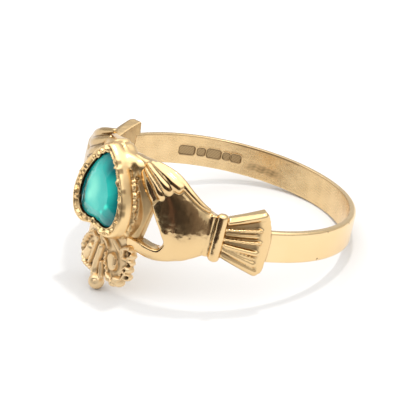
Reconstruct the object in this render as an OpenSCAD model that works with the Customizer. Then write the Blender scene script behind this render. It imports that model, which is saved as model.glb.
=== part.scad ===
// Claddagh ring: two cuffed hands hold a crowned heart with a faceted stone.
// The ring lies on its side. The origin is the middle of the finger hole, the head faces -Y,
// and the hoop leans so that the crown's tip and the band's lower back edge rest on one plane.

/* [Hoop] */
// Inside diameter of the finger hole, mm
hole_d = 17.0; // [14:0.1:22]
// Thickness of the plain band, mm
band_t = 0.47; // [0.35:0.01:1.2]
// Width of the plain band, mm
band_w = 2.16; // [1.6:0.02:3.2]
// Rounding of the band's outer corners, mm
band_round = 0.2; // [0.05:0.01:0.3]

/* [Heart setting] */
// Radius of the stone across the lobes of its heart, mm
stone_r = 2.46; // [1.8:0.02:3.2]
// Width of the rim round the stone, mm
rim_w = 0.8; // [0.5:0.02:1.2]
// How far the rim stands above the finger hole, mm
heart_rise = 2.0; // [1.6:0.02:2.4]
// How far the middle of the heart sits above the hoop's middle plane, mm
heart_up = 0.6; // [0:0.05:1]
// Depth of the bevel round the seat, mm
bevel = 0.12; // [0.05:0.01:0.2]
// Wall left between the stone's seat and the finger hole, mm
seat_wall = 0.42; // [0.3:0.01:0.6]

/* [Stone] */
// Gap between the stone and its seat, mm
stone_gap = 0.05; // [0.03:0.01:0.1]
// How far the stone's flat table stands above the rim, mm
table_rise = 0.16; // [0.05:0.01:0.4]
// Size of the table as a share of the stone
table_share = 0.6; // [0.45:0.01:0.75]
// Height of the girdle at the stone's edge, mm
girdle_t = 0.17; // [0.1:0.01:0.25]
// Number of facets round the crown of the stone
facets = 20; // [12, 15, 20, 30]

/* [Crown] */
// Distance from the hoop's middle plane to the end of the crown's tip, mm
crown_reach = 6.35; // [5.4:0.05:7.5]
// Half of the angle that the crown spans round the hoop, degrees
crown_half = 17.6; // [15:0.2:19]
// How far the crown's plate stands above the finger hole, mm
crown_t = 0.56; // [0.45:0.01:0.9]
// Height of the crown's relief above its plate, mm
relief = 0.3; // [0.1:0.01:0.4]
// Radius of the beads along the crown's border, mm
bead_r = 0.3; // [0.2:0.01:0.4]
// Radius of the ball at the crown's tip, mm
tip_r = 0.54; // [0.35:0.01:0.6]

/* [Hands] */
// Angle from the middle of the head to the wrist, degrees
wrist_angle = 50; // [46:0.5:54]
// Width of a hand from the heel of the thumb to the finger tops, mm
hand_w = 6.4; // [5.4:0.05:7]
// How far the back of a hand stands above the finger hole, mm
hand_rise = 1.15; // [0.95:0.01:1.6]
// Height of a finger's ridge, mm
finger_ridge = 0.16; // [0.05:0.01:0.25]
// How much farther round the hoop the far hand reaches than the near one
far_reach = 1.14; // [1:0.01:1.16]
// How far the far hand and cuff lean down from the head, degrees
far_lean = 3.4; // [0:0.2:4]

/* [Cuffs] */
// Radius of the rounded bar at the wrist, mm
roll_r = 0.46; // [0.35:0.01:0.52]
// Angle from the middle of the head to the wide end of the cuff, degrees
cuff_angle = 73.6; // [68:0.2:77]
// How far the middle of the cuff's wide end bows out past its corners, degrees
cuff_bow = 3.4; // [1:0.2:5]
// How far a cuff's corners are rounded back, degrees
cuff_corner = 1.2; // [0:0.1:3]
// Width of a cuff at its wide end, mm
cuff_w = 4.45; // [3.4:0.05:5.2]
// How far a cuff's ribs stand above the finger hole, mm
cuff_rise = 1.0; // [0.85:0.01:1.4]
// Number of ribs on a cuff
cuff_ribs = 6; // [4:1:8]
// Depth of the grooves between the ribs, mm
cuff_groove = 0.26; // [0.1:0.01:0.35]

/* [Hidden] */
$fn = 96;
hole_r = hole_d / 2;
band_r = hole_r + band_t;
// Everything starts this far inside the hole, and the hole is cut through it last.
root_r = hole_r - 0.35;
rim_y = hole_r + heart_rise;
seat_y = hole_r + seat_wall;
girdle_y = rim_y - 1.5 * bevel;
wrist_w = 0.405 * hand_w;
roll_y = hole_r + 0.68 * hand_rise;
crown_w = (hole_r + crown_t) * crown_half * PI / 180;
tip_y = hole_r + crown_t + 0.15 * tip_r;
tip_z = -(crown_reach - tip_r);
heart_steps = 60;
fingers = 4;
// Share of the hand's width at which its smooth palm ends and the fingers begin.
knuckles = 0.34;

// Tilt at which the tip and the band's lower back corner lie on one plane.
rest_z = tip_z + band_w / 2 - band_round;
rest_y = tip_y + band_r - band_round;
rest_tilt = atan2(-rest_z, rest_y) + asin((tip_r - band_round) / norm([rest_z, rest_y]));

// Heart outline: angle from the cleft, share of stone_r, share of rim_w outside it.
heart_rows = [
    [-14, 0.83, 0.62], [0, 0.80, 0.50], [14, 0.83, 0.62], [28, 0.94, 0.85], [45, 1.00, 1.00],
    [66, 0.93, 1.00], [84, 0.855, 0.90], [102, 0.815, 0.80], [122, 0.80, 0.75],
    [142, 0.855, 0.75], [160, 0.97, 0.80], [171, 1.06, 0.82], [180, 1.14, 0.82], [189, 1.06, 0.82]
];

// Profile of the setting, back to rim: share of heart_rise above the hole, share of rim_w
// moved outward, and share of rim_w by which every second point steps out as a milled bead.
setting_rows = [
    [-0.45, -0.16, 0], [0.34, -0.02, 0], [0.37, -0.15, 0], [0.46, -0.15, 0.12], [0.55, -0.15, 0],
    [0.59, 0.05, 0], [0.88, 0.00, 0], [0.97, -0.12, 0.07], [1.0, -0.34, 0.06]
];

// Hand, finger ends to wrist: share of wrist_angle, lower and upper edge as shares of hand_w,
// middle and edge as shares of hand_rise, and how far the finger ridges have risen.
hand_rows = [
    [0.09, 0.43, 0.575, 0.60, 0.52, 0.0], [0.16, 0.40, 0.59, 0.64, 0.54, 0.3],
    [0.22, 0.375, 0.60, 0.68, 0.55, 0.8], [0.29, 0.345, 0.61, 0.76, 0.57, 1.0],
    [0.36, 0.29, 0.62, 0.86, 0.60, 1.0], [0.43, 0.185, 0.605, 0.93, 0.62, 1.0],
    [0.50, 0.09, 0.58, 0.96, 0.62, 1.0], [0.56, -0.02, 0.55, 0.98, 0.62, 0.9],
    [0.61, -0.15, 0.52, 0.99, 0.62, 0.7], [0.655, -0.25, 0.49, 1.00, 0.62, 0.35],
    [0.71, -0.30, 0.455, 1.00, 0.60, 0.0], [0.77, -0.315, 0.40, 0.98, 0.57, 0.0],
    [0.84, -0.28, 0.345, 0.93, 0.54, 0.0], [0.92, -0.215, 0.285, 0.84, 0.50, 0.0],
    [1.0, -0.165, 0.242, 0.77, 0.48, 0.0]
];

// Thumb, tip to heel: share of wrist_angle, lower and upper edge as shares of hand_w,
// middle and edge as shares of hand_rise.
thumb_rows = [
    [0.25, -0.375, -0.27, 0.55, 0.48], [0.32, -0.385, -0.27, 0.66, 0.54],
    [0.39, -0.395, -0.275, 0.74, 0.56], [0.46, -0.405, -0.285, 0.80, 0.56],
    [0.55, -0.405, -0.285, 0.86, 0.56], [0.63, -0.39, -0.22, 0.92, 0.56],
    [0.72, -0.355, -0.14, 0.95, 0.54], [0.84, -0.30, -0.12, 0.88, 0.50]
];

// Cuff, wrist to wide end: share of the cuff's length, 1 where it is ribbed.
cuff_rows = [
    [0, 0], [0.12, 0], [0.24, 0], [0.3, 1], [0.55, 1], [0.76, 1], [0.84, 0], [1, 0]
];

// Crown plate, middle to side: share of crown_half, lower and upper edge as shares of crown_reach.
crown_rows = [
    [0.0, -0.86, -0.26], [0.12, -0.85, -0.26], [0.3, -0.855, -0.27], [0.5, -0.86, -0.28],
    [0.7, -0.845, -0.30], [0.82, -0.80, -0.33], [0.92, -0.73, -0.37], [1.0, -0.63, -0.43]
];

// Beads along the crown's border: share of crown_w, share of crown_reach below the middle.
bead_rows = [
    [0.36, 0.825], [0.54, 0.825], [0.70, 0.80], [0.83, 0.74], [0.915, 0.655], [0.935, 0.555],
    [0.88, 0.46], [0.76, 0.39]
];

// A point at a radius, an angle round from the head and a height along the hoop's axis.
function hoop(r, a, z) = [r * sin(a), -r * cos(a), z];

function row_at(t, rows, i = 0) =
    i >= len(rows) - 2 || t < rows[i + 1][0] ? i : row_at(t, rows, i + 1);

// Smooth reading of one column of a table.
function read(t, rows, col) =
    let (i = row_at(t, rows),
         u = (t - rows[i][0]) / (rows[i + 1][0] - rows[i][0]),
         before = rows[max(i - 1, 0)][col],
         from = rows[i][col],
         to = rows[i + 1][col],
         after = rows[min(i + 2, len(rows) - 1)][col])
    from + 0.5 * u * (to - before + u * (2 * before - 5 * from + 4 * to - after
        + u * (3 * (from - to) + after - before)));

function mix(a, b, t) = a + (b - a) * t;

// How round an edge-to-edge section is: 0 at both edges, 1 in the middle.
function dome(v) = pow(max(0, 1 - pow(abs(2 * v - 1), 2.4)), 0.7);

// A row of rounded ridges: 0 in each groove, 1 on each crest.
function ridges(v, count) = pow(abs(sin(180 * count * v)), 0.6);

function middle(loop) = [for (k = [0:2]) [for (p = loop) p[k]] * [for (p = loop) 1] / len(loop)];

// Closed solid through a list of loops that all have the same number of points.
module loft(loops) {
    n = len(loops[0]);
    last = len(loops) - 1;
    points = concat([for (loop = loops) for (p = loop) p], [middle(loops[0]), middle(loops[last])]);
    sides = [for (i = [0:last - 1]) for (j = [0:n - 1])
        let (a = i * n + j, b = i * n + (j + 1) % n) each [[a, b, b + n], [a, b + n, a + n]]];
    front = [for (j = [0:n - 1]) [(j + 1) % n, j, len(points) - 2]];
    back = [for (j = [0:n - 1]) [last * n + j, last * n + (j + 1) % n, len(points) - 1]];
    polyhedron(points, concat(sides, front, back));
}

// Loop across the hoop: outer points from lower to upper edge, then back below them.
function strip(outer, back_r) =
    let (low = outer[0], high = outer[len(outer) - 1])
    concat([for (p = outer) hoop(p[0], p[1], p[2])],
        [for (p = [high, (low + high) / 2, low]) hoop(back_r, low[1], p[2])]);

function fold(a) = a > 180 ? 360 - a : a;
function heart_r(a) = stone_r * read(fold(a), heart_rows, 1);
function rim_r(a) = rim_w * read(fold(a), heart_rows, 2);

// Heart-shaped loop at a distance from the hoop's axis, from the radii at even angles.
function heart_loop(y, radii, turn = 0) =
    let (n = len(radii))
    [for (i = [0:n - 1])
        let (a = 360 * (i + turn) / n)
        [-radii[i] * sin(a), -y, heart_up - radii[i] * cos(a)]];

function setting_radii(out, step) = [for (i = [0:heart_steps - 1])
    let (a = 360 * i / heart_steps)
    heart_r(a) + rim_r(a) + rim_w * (out + step * (i % 2))];

function stone_radii(share, count, gap = 0, turn = 0) = [for (i = [0:count - 1])
    heart_r(abs(360 * (i + turn) / count)) * share + gap];

module band() {
    rotate([0, 0, wrist_angle - 90])
        rotate_extrude(angle = 360 - wrist_angle * (1 + far_reach)) translate([root_r, 0])
            difference() {
                translate([0, -band_w / 2]) square([band_r - root_r, band_w]);
                for (s = [-1, 1]) translate([band_r - root_r, s * band_w / 2]) difference() {
                    square(2 * band_round, center = true);
                    translate([-band_round, -s * band_round]) circle(band_round, $fn = 12);
                }
            }
}

// Fan of ribs with a plain margin, widening from the wrist and bowed at its wide end.
module cuff(reach) {
    samples = 4 * cuff_ribs;
    loft([for (row = cuff_rows)
        strip([for (j = [0:samples])
            let (v = j / samples,
                 off = abs(2 * v - 1),
                 end = cuff_angle - cuff_bow * pow(off, 2) - cuff_corner * pow(off, 14),
                 spread = max(0, (row[0] - 0.2) / 0.8),
                 crest = row[1] == 1 ? ridges(v, cuff_ribs) : 0.35 * dome(v),
                 z = mix(mix(-0.39, 0.61, v) * wrist_w, mix(-0.43, 0.57, v) * cuff_w, spread))
            [hole_r + cuff_rise - cuff_groove * (1 - crest), reach * mix(wrist_angle - 0.8, end, row[0]), z]],
            root_r)]);
}

module wrist_roll(reach) {
    low = -0.55 * wrist_w + roll_r;
    high = 0.7 * wrist_w - roll_r;
    profile = concat([for (a = [-90:22.5:0]) [roll_r * cos(a), low + roll_r * sin(a)]],
        [for (a = [0:22.5:90]) [roll_r * cos(a), high + roll_r * sin(a)]]);
    rotate([0, 0, reach * (wrist_angle + 1)]) translate([0, -roll_y, 0])
        rotate_extrude($fn = 20) polygon(profile);
}

// Height above the hole of a point on the hand, with finger ridges beyond the knuckles.
function hand_height(t, v) =
    let (w = max(0, (v - knuckles) / (1 - knuckles)))
    hand_rise * mix(read(t, hand_rows, 4), read(t, hand_rows, 3), dome(v))
    - finger_ridge * read(t, hand_rows, 5) * (w > 0 ? 1 - ridges(w, fingers) : 0.2);

module hand(reach) {
    steps = 20;
    across = concat([for (i = [0:3]) knuckles * i / 4],
        [for (i = [0:4 * fingers]) mix(knuckles, 1, i / (4 * fingers))]);
    loft([for (i = [0:steps])
        let (t = mix(hand_rows[0][0], 1, i / steps), a = t * wrist_angle * reach)
        strip([for (v = across)
            [hole_r + hand_height(t, v), a, hand_w * mix(read(t, hand_rows, 1), read(t, hand_rows, 2), v)]],
            root_r)]);
}

module thumb(reach) {
    samples = 8;
    steps = 10;
    heel = thumb_rows[len(thumb_rows) - 1][0];
    loft([for (i = [0:steps])
        let (t = mix(thumb_rows[0][0], heel, i / steps), a = t * wrist_angle * reach)
        strip([for (j = [0:samples])
            let (v = j / samples)
            [hole_r + hand_rise * mix(read(t, thumb_rows, 4), read(t, thumb_rows, 3), dome(v)), a,
             hand_w * mix(read(t, thumb_rows, 1), read(t, thumb_rows, 2), v)]],
            root_r)]);
}

// One arm on the +X side, stretched round the hoop by its reach.
module arm(reach) {
    hand(reach);
    thumb(reach);
    wrist_roll(reach);
    cuff(reach);
}

module setting() {
    seat = stone_radii(1, heart_steps, stone_gap);
    rim = stone_radii(1, heart_steps, 0.24 * rim_w);
    loft(concat(
        [for (row = setting_rows) heart_loop(hole_r + heart_rise * row[0], setting_radii(row[1], row[2]))],
        [heart_loop(rim_y, rim), heart_loop(rim_y - bevel, seat), heart_loop(seat_y, seat)]));
}

function box_gap(x, z, w, h) = norm([max(abs(x) - w, 0), max(abs(z) - h, 0)]);
function crest(d, half) = d < half ? sqrt(1 - pow(d / half, 2)) : 0;

// Relief of the crown: framed side panels, two leaves, a beaded border and a post down to the tip.
function crown_relief(x, z) =
    let (side = abs(x),
         panel = box_gap(side - 0.43 * crown_w, z + 0.645 * crown_reach, 0.1 * crown_w, 0.055 * crown_reach),
         bead = max([for (b = bead_rows) crest(norm([side - b[0] * crown_w, z + b[1] * crown_reach]), bead_r)]),
         leaf = mix(0.02, 0.15, min(1, max(0, -z / (0.4 * crown_reach) - 1.05))) * crown_w)
    relief * max(bead,
        panel < 0.05 * crown_w ? 1 : 0,
        0.65 * crest(panel - 0.15 * crown_w, 0.055 * crown_w),
        0.75 * crest(side - leaf, 0.05 * crown_w),
        z > tip_z ? 1.3 * crest(side, 0.11 * crown_w) : 0);

module crown() {
    samples = 24;
    steps = 36;
    loft([for (i = [0:steps])
        let (t = mix(-1, 1, i / steps),
             low = crown_reach * read(abs(t), crown_rows, 1),
             high = crown_reach * read(abs(t), crown_rows, 2))
        strip([for (j = [0:samples])
            let (z = mix(low, high, j / samples), inside = j > 0 && j < samples ? 1 : 0)
            [hole_r + crown_t + inside * crown_relief(t * crown_w, z), t * crown_half, z]],
            root_r)]);
    translate([0, -tip_y, tip_z]) sphere(tip_r, $fn = 24);
}

module ring_body() {
    color("goldenrod") rotate([-rest_tilt, 0, 0]) difference() {
        union() {
            band();
            arm(1);
            mirror([1, 0, 0]) rotate([0, far_lean, 0]) arm(far_reach);
            setting();
            crown();
        }
        cylinder(h = 4 * crown_reach, r = hole_r, center = true);
    }
}

// Cut stone: pavilion, girdle, a ring of triangular facets and a flat table.
module heart_stone() {
    turn = -0.5;
    color("mediumturquoise") rotate([-rest_tilt, 0, 0])
        loft([
            heart_loop(seat_y + stone_gap, stone_radii(0.5, facets)),
            heart_loop(girdle_y - girdle_t, stone_radii(1, facets)),
            heart_loop(girdle_y, stone_radii(1, facets)),
            heart_loop(rim_y + table_rise, stone_radii(table_share, facets, 0, turn), turn)
        ]);
}

ring_body();
heart_stone();
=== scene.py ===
import bmesh
import bpy
import numpy as np
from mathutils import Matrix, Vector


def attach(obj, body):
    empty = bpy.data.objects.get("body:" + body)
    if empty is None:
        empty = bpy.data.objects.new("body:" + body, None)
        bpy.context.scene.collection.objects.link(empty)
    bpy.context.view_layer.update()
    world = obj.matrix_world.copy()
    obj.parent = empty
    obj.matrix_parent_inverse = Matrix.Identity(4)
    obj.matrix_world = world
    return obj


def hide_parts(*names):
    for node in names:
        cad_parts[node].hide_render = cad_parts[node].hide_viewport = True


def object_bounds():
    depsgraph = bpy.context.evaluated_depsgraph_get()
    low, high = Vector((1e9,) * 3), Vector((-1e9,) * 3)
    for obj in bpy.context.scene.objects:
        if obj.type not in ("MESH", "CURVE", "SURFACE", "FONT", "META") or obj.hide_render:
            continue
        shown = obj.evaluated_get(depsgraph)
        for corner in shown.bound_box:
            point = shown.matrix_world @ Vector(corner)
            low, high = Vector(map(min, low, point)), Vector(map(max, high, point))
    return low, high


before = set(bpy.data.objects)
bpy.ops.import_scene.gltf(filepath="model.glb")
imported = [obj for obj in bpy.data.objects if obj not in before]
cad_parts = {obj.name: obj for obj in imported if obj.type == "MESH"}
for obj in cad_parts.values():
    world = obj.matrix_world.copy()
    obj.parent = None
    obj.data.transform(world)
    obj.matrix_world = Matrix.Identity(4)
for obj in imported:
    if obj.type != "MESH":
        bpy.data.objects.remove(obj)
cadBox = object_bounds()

print("ring: frame loaded")

hoop = {
    "holeRadius": 8.5,
    "restTilt": 16.4383,      # degrees that the hoop leans on the crown's tip and the band
    "plateLift": 0.02,        # the hands, cuffs and crown end this far outside the band's inside
}
backRadius = hoop["holeRadius"] + hoop["plateLift"]


def hoopPoint(radius, angle, height):
    turn = np.radians(np.asarray(angle, float))
    return np.stack(np.broadcast_arrays(radius * np.sin(turn), -radius * np.cos(turn), height), -1)


def hoopPlace(points):    # radius, angle and height of points
    return (np.hypot(points[:, 0], points[:, 1]),
            np.degrees(np.arctan2(points[:, 0], -points[:, 1])), points[:, 2])


def toFrame(points):
    lean = np.radians(hoop["restTilt"])
    x, y, z = np.asarray(points, float).T
    return 0.001 * np.stack(
        [x, y * np.cos(lean) + z * np.sin(lean), z * np.cos(lean) - y * np.sin(lean)], 1)


def insideBox(points):
    return np.clip(points, np.array(cadBox[0]) + 2e-7, np.array(cadBox[1]) - 2e-7)


def mixed(start, end, share):
    return start + (end - start) * share


def eased(value, low, high):
    share = np.clip((value - low) / (high - low), 0, 1)
    return share * share * (3 - 2 * share)


def span(value, low, full, last, gone):    # rises from low to full, falls from last to gone
    return eased(value, low, full) * (1 - eased(value, last, gone))


def dome(v, squareness=2.4):    # 0 at both edges of a section, 1 in its middle
    return np.maximum(0, 1 - np.abs(2 * v - 1) ** squareness) ** 0.7


def readTable(at, rows, column):    # smooth reading of one column between the rows of a table
    rows = np.asarray(rows, float)
    at = np.asarray(at, float)
    i = np.clip(np.searchsorted(rows[:, 0], at, side="right") - 1, 0, len(rows) - 2)
    u = (at - rows[i, 0]) / (rows[i + 1, 0] - rows[i, 0])
    values = rows[:, column]
    before, start = values[np.maximum(i - 1, 0)], values[i]
    end, after = values[i + 1], values[np.minimum(i + 2, len(rows) - 1)]
    return start + 0.5 * u * (end - before + u * (
        2 * before - 5 * start + 4 * end - after + u * (3 * (start - end) + after - before)))


def gapToLine(s, z, line):    # distance to a chain of straight pieces, and how far along it
    best, along, done = np.full(np.shape(s), 1e9), np.zeros(np.shape(s)), 0.0
    for (s0, z0), (s1, z1) in zip(line[:-1], line[1:]):
        length = np.hypot(s1 - s0, z1 - z0)
        share = np.clip(((s - s0) * (s1 - s0) + (z - z0) * (z1 - z0)) / length ** 2, 0, 1)
        gap = np.hypot(s - mixed(s0, s1, share), z - mixed(z0, z1, share))
        along = np.where(gap < best, done + share * length, along)
        best = np.minimum(best, gap)
        done += length
    return best, along


# Closed shapes, as points and faces

def loftShape(rows):
    rows = np.asarray(rows, float)
    count, around = rows.shape[:2]
    points = np.concatenate([rows.reshape(-1, 3), rows[:1].mean(1), rows[-1:].mean(1)])
    i, j = np.meshgrid(np.arange(count - 1), np.arange(around), indexing="ij")
    a, b = i * around + j, i * around + (j + 1) % around
    sides = np.stack([a, b, b + around, a + around], -1).reshape(-1, 4)
    ring, after = np.arange(around), (np.arange(around) + 1) % around
    front = np.stack([after, ring, np.full(around, len(points) - 2)], 1)
    last = (count - 1) * around
    back = np.stack([last + ring, last + after, np.full(around, len(points) - 1)], 1)
    return points, sides.tolist() + front.tolist() + back.tolist()


def stripShape(outer, place, backSteps=24):
    # outer is radius, angle and height for rows of points that run from the lower to the upper edge
    rows = []
    for radius, angle, height in zip(*outer):
        top = place(hoopPoint(radius, angle, height))
        share = np.linspace(1, 0, backSteps + 2)
        back = place(hoopPoint(backRadius, mixed(angle[0], angle[-1], share),
                               mixed(height[0], height[-1], share)), True)
        rows.append(np.concatenate([top, back]))
    return loftShape(rows)


def sweepShape(rows, place, steps=44, around=20):
    # rows: angle, height, radius of the middle, half width, half depth; both ends are rounded
    rows = np.asarray(rows, float)
    middle = hoopPoint(rows[:, 2], rows[:, 0], rows[:, 1])
    run = np.concatenate([[0], np.cumsum(np.linalg.norm(np.diff(middle, axis=0), axis=1))])
    table = np.column_stack([run, rows])
    at = run[-1] * (0.5 - 0.5 * np.cos(np.linspace(0, np.pi, steps)))
    angle, height, radius, wide, deep = [readTable(at, table, k + 1) for k in range(5)]
    centre = place(hoopPoint(radius, angle, height))
    tangent = np.gradient(centre, axis=0)
    tangent /= np.linalg.norm(tangent, axis=1)[:, None]
    up = centre * [1, 1, 0]
    up /= np.linalg.norm(up, axis=1)[:, None]
    side = np.cross(tangent, up)
    side /= np.linalg.norm(side, axis=1)[:, None]
    up = np.cross(side, tangent)
    end = np.minimum(at, run[-1] - at)
    cap = np.sqrt(np.clip(1 - (1 - np.clip(end / wide, 0.02, 1)) ** 2, 0.02, 1))
    turn = np.linspace(0, 2 * np.pi, around, endpoint=False)
    return loftShape([centre[i] + cap[i] * (np.outer(np.cos(turn), side[i]) * wide[i]
                                            + np.outer(np.sin(turn), up[i]) * deep[i])
                      for i in range(steps)])


def ballShape(centre, radius, squash=(1, 1, 1)):
    ball = bmesh.new()
    bmesh.ops.create_icosphere(ball, subdivisions=4, radius=radius)
    points = np.array([v.co for v in ball.verts]) * squash + centre
    faces = [[v.index for v in f.verts] for f in ball.faces]
    ball.free()
    return points, faces


def joinShapes(shapes):
    points, faces, start = [], [], 0
    for some, corners in shapes:
        points.append(some)
        faces += [[start + c for c in face] for face in corners]
        start += len(some)
    return np.concatenate(points), faces


# Objects and meshes

def addObject(name, data):
    piece = bpy.data.objects.new(name, data)
    bpy.context.scene.collection.objects.link(piece)
    return piece


def addPiece(name, shape):
    mesh = bpy.data.meshes.new(name)
    mesh.from_pydata(shape[0].tolist(), [], shape[1])
    work = bmesh.new()
    work.from_mesh(mesh)
    bmesh.ops.recalc_face_normals(work, faces=work.faces)
    work.to_mesh(mesh)
    work.free()
    return addObject(name, mesh)


def settle(piece):    # the evaluated result becomes the piece's plain mesh
    graph = bpy.context.evaluated_depsgraph_get()
    mesh = bpy.data.meshes.new_from_object(piece.evaluated_get(graph))
    mesh.name = piece.name
    piece.modifiers.clear()
    piece.data = mesh
    return piece


def shapeOf(piece):    # the piece's mesh as a shape; the piece itself goes
    shape = (getPoints(piece.data), [list(p.vertices) for p in piece.data.polygons])
    bpy.data.objects.remove(piece)
    return shape


def getPoints(mesh):
    flat = np.empty(len(mesh.vertices) * 3, np.float32)
    mesh.vertices.foreach_get("co", flat)
    return flat.reshape(-1, 3).astype(float)


def setPoints(mesh, points):
    mesh.vertices.foreach_set("co", np.asarray(points, np.float32).ravel())
    mesh.update()


def getNormals(mesh):
    flat = np.empty(len(mesh.vertices) * 3, np.float32)
    mesh.vertex_normals.foreach_get("vector", flat)
    return flat.reshape(-1, 3).astype(float)


def relaxed(mesh, points, rounds, share=0.5):
    edges = np.empty(len(mesh.edges) * 2, np.int32)
    mesh.edges.foreach_get("vertices", edges)
    a, b = edges.reshape(-1, 2).T
    count = len(points)
    near = np.maximum(np.bincount(a, minlength=count) + np.bincount(b, minlength=count), 1)
    points = points.copy()
    for _ in range(rounds):
        for k in range(3):
            total = (np.bincount(a, points[b, k], count) + np.bincount(b, points[a, k], count))
            points[:, k] += share * (total / near - points[:, k])
    return points


def setAttribute(mesh, name, values):
    attribute = mesh.attributes.get(name) or mesh.attributes.new(name, "FLOAT", "POINT")
    attribute.data.foreach_set("value", np.asarray(values, np.float32))


def castTogether(name, shapes, grain, rounds):    # overlapping closed shapes become one skin
    piece = addPiece(name, joinShapes(shapes))
    skin = piece.modifiers.new("cast", "REMESH")
    skin.mode, skin.voxel_size, skin.use_smooth_shade = "VOXEL", grain, True
    settle(piece)
    setPoints(piece.data, relaxed(piece.data, getPoints(piece.data), rounds))
    return piece


def soften(piece, mask, rounds):    # mask is a share for each point
    points = getPoints(piece.data)
    setPoints(piece.data, mixed(points, relaxed(piece.data, points, rounds), mask[:, None]))


def readSkin(piece):    # points, their radius, angle and height, and how far they face outward
    points = getPoints(piece.data)
    radius, angle, height = hoopPlace(points)
    outward = (getNormals(piece.data)[:, :2] * points[:, :2]).sum(1) / radius
    return points, radius, angle, height, outward


def fitBack(points, radius, mask, back=backRadius):    # masked points go to the back's radius
    points[mask, :2] *= (back / radius[mask])[:, None]


def finishMetal(piece, metal, depth=0.03, rounds=40, stainShadeAndReflection=None):
    # hollows and edges for the metal's tarnish and wear, and the stain attribute that also holds
    # painted shade and painted dark reflections, then the piece goes into the frame
    mesh = piece.data
    mesh.materials.clear()
    mesh.materials.append(metal)
    mesh.polygons.foreach_set("use_smooth", np.ones(len(mesh.polygons), bool))
    points = getPoints(mesh)
    sunk = ((relaxed(mesh, points, rounds) - points) * getNormals(mesh)).sum(1) / depth
    even = relaxed(mesh, np.column_stack([sunk] * 3), 2)[:, 0]
    setAttribute(mesh, "hollow", np.clip(even, -1, 1))
    setAttribute(mesh, "stainShadeAndReflection", np.zeros(len(points)) if stainShadeAndReflection is None else stainShadeAndReflection)
    setPoints(mesh, insideBox(toFrame(points)))
    print("ring:", piece.name, len(mesh.polygons), "faces")


# Node trees

def addNode(tree, kind, sockets=None, **settings):
    node = tree.nodes.new(kind)
    for key, value in settings.items():
        setattr(node, key, value)
    for key, value in (sockets or {}).items():
        if isinstance(value, bpy.types.NodeSocket):
            tree.links.new(value, node.inputs[key])
        else:
            node.inputs[key].default_value = value
    return node


def addMath(tree, operation, *values, clamp=False):
    return addNode(tree, "ShaderNodeMath", dict(enumerate(values)),
                   operation=operation, use_clamp=clamp).outputs[0]


def addNoise(tree, place, scale, detail):
    return addNode(tree, "ShaderNodeTexNoise", {
        "Vector": place, "Scale": scale, "Detail": detail}).outputs["Fac"]


def addMix(tree, share, first, second):
    return addNode(tree, "ShaderNodeMix", {"Factor": share, "A": first, "B": second},
                   data_type="RGBA").outputs["Result"]


def addRange(tree, value, low, high, start=0.0, end=1.0, smooth=True):
    return addNode(tree, "ShaderNodeMapRange", {
        "Value": value, "From Min": low, "From Max": high, "To Min": start, "To Max": end},
        interpolation_type="SMOOTHSTEP" if smooth else "LINEAR").outputs[0]


def addRamp(tree, value, stops):
    ramp = addNode(tree, "ShaderNodeValToRGB", {"Fac": value})
    elements = ramp.color_ramp.elements
    elements.remove(elements[-1])
    for k, (at, colour) in enumerate(stops):
        element = elements.new(at) if k else elements[0]
        element.position, element.color = at, colour
    return ramp.outputs[0]


def objectPlace(tree):
    return tree.nodes.new("ShaderNodeTexCoord").outputs["Object"]


def newMaterial(name):
    material = bpy.data.materials.new(name)
    material.use_nodes = True
    return material, material.node_tree, material.node_tree.nodes["Principled BSDF"]


def newTree(name, inputs):
    tree = bpy.data.node_groups.new(name, "GeometryNodeTree")
    tree.interface.new_socket("Geometry", in_out="INPUT", socket_type="NodeSocketGeometry")
    for label, kind in inputs.items():
        tree.interface.new_socket(label, in_out="INPUT", socket_type="NodeSocket" + kind)
    tree.interface.new_socket("Geometry", in_out="OUTPUT", socket_type="NodeSocketGeometry")
    return tree, tree.nodes.new("NodeGroupInput").outputs


def endTree(tree, geometry, material):
    plain = addNode(tree, "GeometryNodeRealizeInstances", {"Geometry": geometry})
    painted = addNode(tree, "GeometryNodeSetMaterial",
                      {"Geometry": plain.outputs[0], "Material": material})
    addNode(tree, "NodeGroupOutput", {"Geometry": painted.outputs[0]})


def grow(piece, tree, values):
    modifier = piece.modifiers.new(tree.name, "NODES")
    modifier.node_group = tree
    for item in tree.interface.items_tree:
        if item.in_out == "INPUT" and item.name in values:
            modifier[item.identifier] = values[item.name]
    return settle(piece)


def addGuide(name, points, closed=False):    # a chain of edges for a tree to follow
    count = len(points)
    edges = [(i, i + 1) for i in range(count - 1)] + ([(count - 1, 0)] if closed else [])
    mesh = bpy.data.meshes.new(name)
    mesh.from_pydata(np.asarray(points).tolist(), edges, [])
    return addObject(name, mesh)


# Metal and stone

goldLook = {
    "tone": (0.97, 0.735, 0.405, 1),
    "warm": (0.93, 0.665, 0.335, 1),
    "tarnishAndShade": (0.085, 0.048, 0.022, 1),
    "roughness": 0.16, "ripple": 2.5,
    "cloudScale": 420.0, "speckScale": 5200.0, "rippleScale": 1700.0,
    "scratchTurns": [(0.4, 0.2, 0.6), (1.2, 0.9, -0.7)], "scratchScale": (26000.0, 900.0, 900.0),
}


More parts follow.
